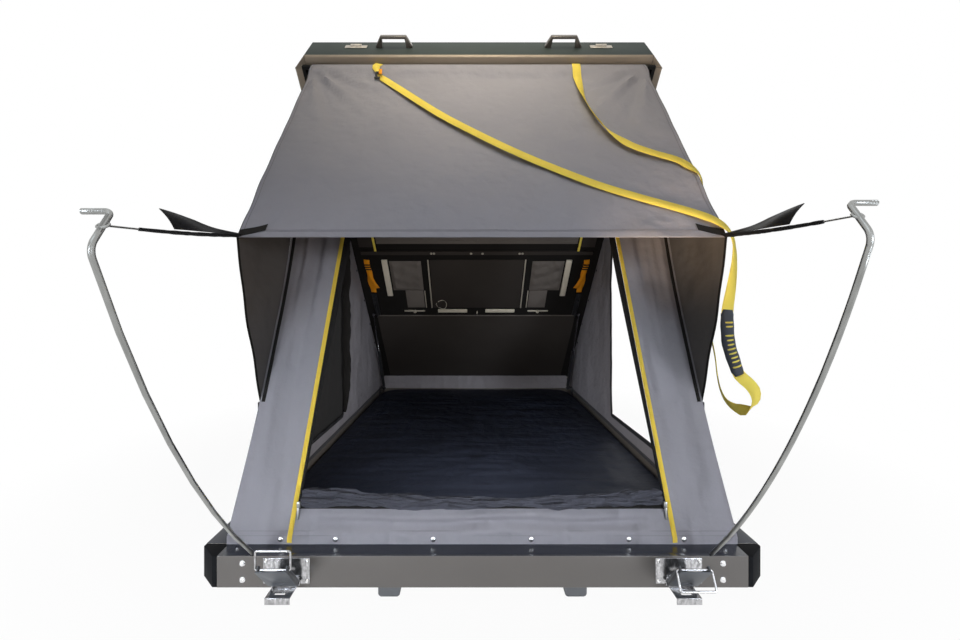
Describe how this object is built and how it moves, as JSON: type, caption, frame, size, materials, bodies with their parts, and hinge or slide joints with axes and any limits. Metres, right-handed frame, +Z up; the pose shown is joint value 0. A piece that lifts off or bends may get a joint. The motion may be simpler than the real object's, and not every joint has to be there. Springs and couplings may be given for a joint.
{
  "type": "roof top tent",
  "caption": "Hard shell roof top tent pitched open: shallow base tray with mattress, hinged lid on gas struts, canvas walls, and a front awning propped on bowed rods with a pull strap.",
  "frame": {"origin": "midway between the four rack bolt holes, on the underside of the mounting rails", "axes": "+X to the right seen from the entrance, +Y from the entrance to the lid hinge, +Z up"},
  "size_m": [1.4243, 2.7661, 1.7429],
  "materials": {
    "shell_grey": "satin",
    "lid_teal": "satin",
    "black_casting": "gloss",
    "black_metal": "satin",
    "rubber": "matte",
    "bare_aluminium": "satin",
    "chrome": "polished",
    "dark_chrome": "polished",
    "zinc_steel": "brushed",
    "steel": "satin",
    "black_plastic": "matte",
    "mattress_cover": "woven",
    "canvas_grey": "woven",
    "canvas_dark": "woven",
    "mesh": "mesh",
    "webbing_yellow": "woven",
    "webbing_orange": "woven",
    "webbing_black": "woven",
    "light_cover": "satin"
  },
  "bodies": {
    "base": {"base_front_rail": "shell_grey", "base_rear_rail": "shell_grey", "base_left_rail": "shell_grey", "base_right_rail": "shell_grey", "base_corners": "black_casting", "base_floor": "bare_aluminium", "mounting_rail_left": "black_metal", "mounting_rail_right": "black_metal", "rail_end_caps": "black_plastic", "tent_track": "black_plastic", "corner_screws": "chrome", "rod_sockets": "black_plastic", "mattress": "mattress_cover", "latch_left_plate": "chrome", "latch_right_plate": "chrome", "latch_bolts": "chrome", "hinge_base_leaves": "black_metal", "hinge_pins": "bare_aluminium", "strut_base_brackets": "black_metal", "wall_front": "canvas_grey", "wall_left": "canvas_grey", "wall_right": "canvas_grey", "wall_rear": "canvas_grey", "window_mesh_left": "mesh", "door_roll": "canvas_dark", "door_trim": "webbing_yellow"},
    "lid": {"lid_front_rail": "lid_teal", "lid_rear_rail": "lid_teal", "lid_left_rail": "lid_teal", "lid_right_rail": "lid_teal", "lid_corners": "lid_teal", "lid_skin": "lid_teal", "lid_ribs": "bare_aluminium", "lid_handle_left": "lid_teal", "lid_handle_right": "lid_teal", "latch_keepers": "chrome", "lid_seal": "rubber", "hinge_lid_leaves": "black_metal", "ceiling_liner": "canvas_dark", "ceiling_fittings": "black_plastic", "ceiling_lights": "light_cover", "ceiling_pockets": "canvas_dark", "ceiling_straps": "webbing_orange", "lid_strut_brackets": "black_metal", "awning": "canvas_grey", "awning_gussets": "canvas_dark", "pull_strap": "webbing_yellow", "pull_strap_grip": "webbing_black"},
    "strut_left_cylinder": {"strut_left_cylinder": "black_metal"},
    "strut_left_rod": {"strut_left_rod": "steel"},
    "latch_left_lever": {"latch_left_lever": "dark_chrome"},
    "latch_left_bail": {"latch_left_bail": "chrome"},
    "awning_rod_left": {"awning_rod_left": "zinc_steel", "awning_tie_left": "webbing_black"},
    "strut_right_cylinder": {"strut_right_cylinder": "black_metal"},
    "strut_right_rod": {"strut_right_rod": "steel"},
    "latch_right_lever": {"latch_right_lever": "dark_chrome"},
    "latch_right_bail": {"latch_right_bail": "chrome"},
    "awning_rod_right": {"awning_rod_right": "zinc_steel", "awning_tie_right": "webbing_black"}
  },
  "joints": [
    {"name": "lid_hinge", "type": "hinge", "parent": "base", "child": "lid", "pos_m": [0, 1.1, 0.12], "axis": [1, 0, 0], "range_deg": [0, 43.7], "stiffness_Nm_per_rad": 400, "springref_deg": -45.84, "deforming": ["wall_front", "wall_left", "wall_right", "wall_rear", "window_mesh_left", "door_roll", "door_trim", "awning", "awning_gussets", "awning_tie_left", "awning_tie_right", "pull_strap", "pull_strap_grip"]},
    {"name": "strut_left_pivot", "type": "hinge", "parent": "base", "child": "strut_left_cylinder", "pos_m": [-0.613, 0.9, 0.126], "axis": [1, 0, 0], "range_deg": [0, 57.13]},
    {"name": "strut_left_stroke", "type": "slide", "parent": "strut_left_cylinder", "child": "strut_left_rod", "axis": [0, -0.5429, 0.8398], "range_m": [-0.06791, 0]},
    {"name": "latch_left_lever_hinge", "type": "hinge", "parent": "base", "child": "latch_left_lever", "pos_m": [-0.473, -1.104, 0.055], "axis": [-1, 0, 0], "range_deg": [-34, 38]},
    {"name": "latch_left_bail_hinge", "type": "hinge", "parent": "latch_left_lever", "child": "latch_left_bail", "pos_m": [-0.473, -1.16947, 0.12521], "axis": [1, 0, 0], "range_deg": [0, 149]},
    {"name": "awning_rod_left_slide", "type": "slide", "parent": "base", "child": "awning_rod_left", "axis": [0, -0.7325, 0.6807], "range_m": [0, 0.03]},
    {"name": "strut_right_pivot", "type": "hinge", "parent": "base", "child": "strut_right_cylinder", "pos_m": [0.613, 0.9, 0.126], "axis": [1, 0, 0], "range_deg": [0, 57.13]},
    {"name": "strut_right_stroke", "type": "slide", "parent": "strut_right_cylinder", "child": "strut_right_rod", "axis": [0, -0.5429, 0.8398], "range_m": [-0.06791, 0]},
    {"name": "latch_right_lever_hinge", "type": "hinge", "parent": "base", "child": "latch_right_lever", "pos_m": [0.473, -1.104, 0.055], "axis": [-1, 0, 0], "range_deg": [-34, 38]},
    {"name": "latch_right_bail_hinge", "type": "hinge", "parent": "latch_right_lever", "child": "latch_right_bail", "pos_m": [0.473, -1.16947, 0.12521], "axis": [1, 0, 0], "range_deg": [-149, 0]},
    {"name": "awning_rod_right_slide", "type": "slide", "parent": "base", "child": "awning_rod_right", "axis": [0, -0.7009, 0.7133], "range_m": [0, 0.03]}
  ],
  "couplings": [
    {"joint": "strut_left_pivot", "follows": "lid_hinge", "ratio": 1.307},
    {"joint": "strut_left_stroke", "follows": "lid_hinge", "m_per_rad": -0.088773},
    {"joint": "strut_right_pivot", "follows": "lid_hinge", "ratio": 1.307},
    {"joint": "strut_right_stroke", "follows": "lid_hinge", "m_per_rad": -0.088773}
  ]
}
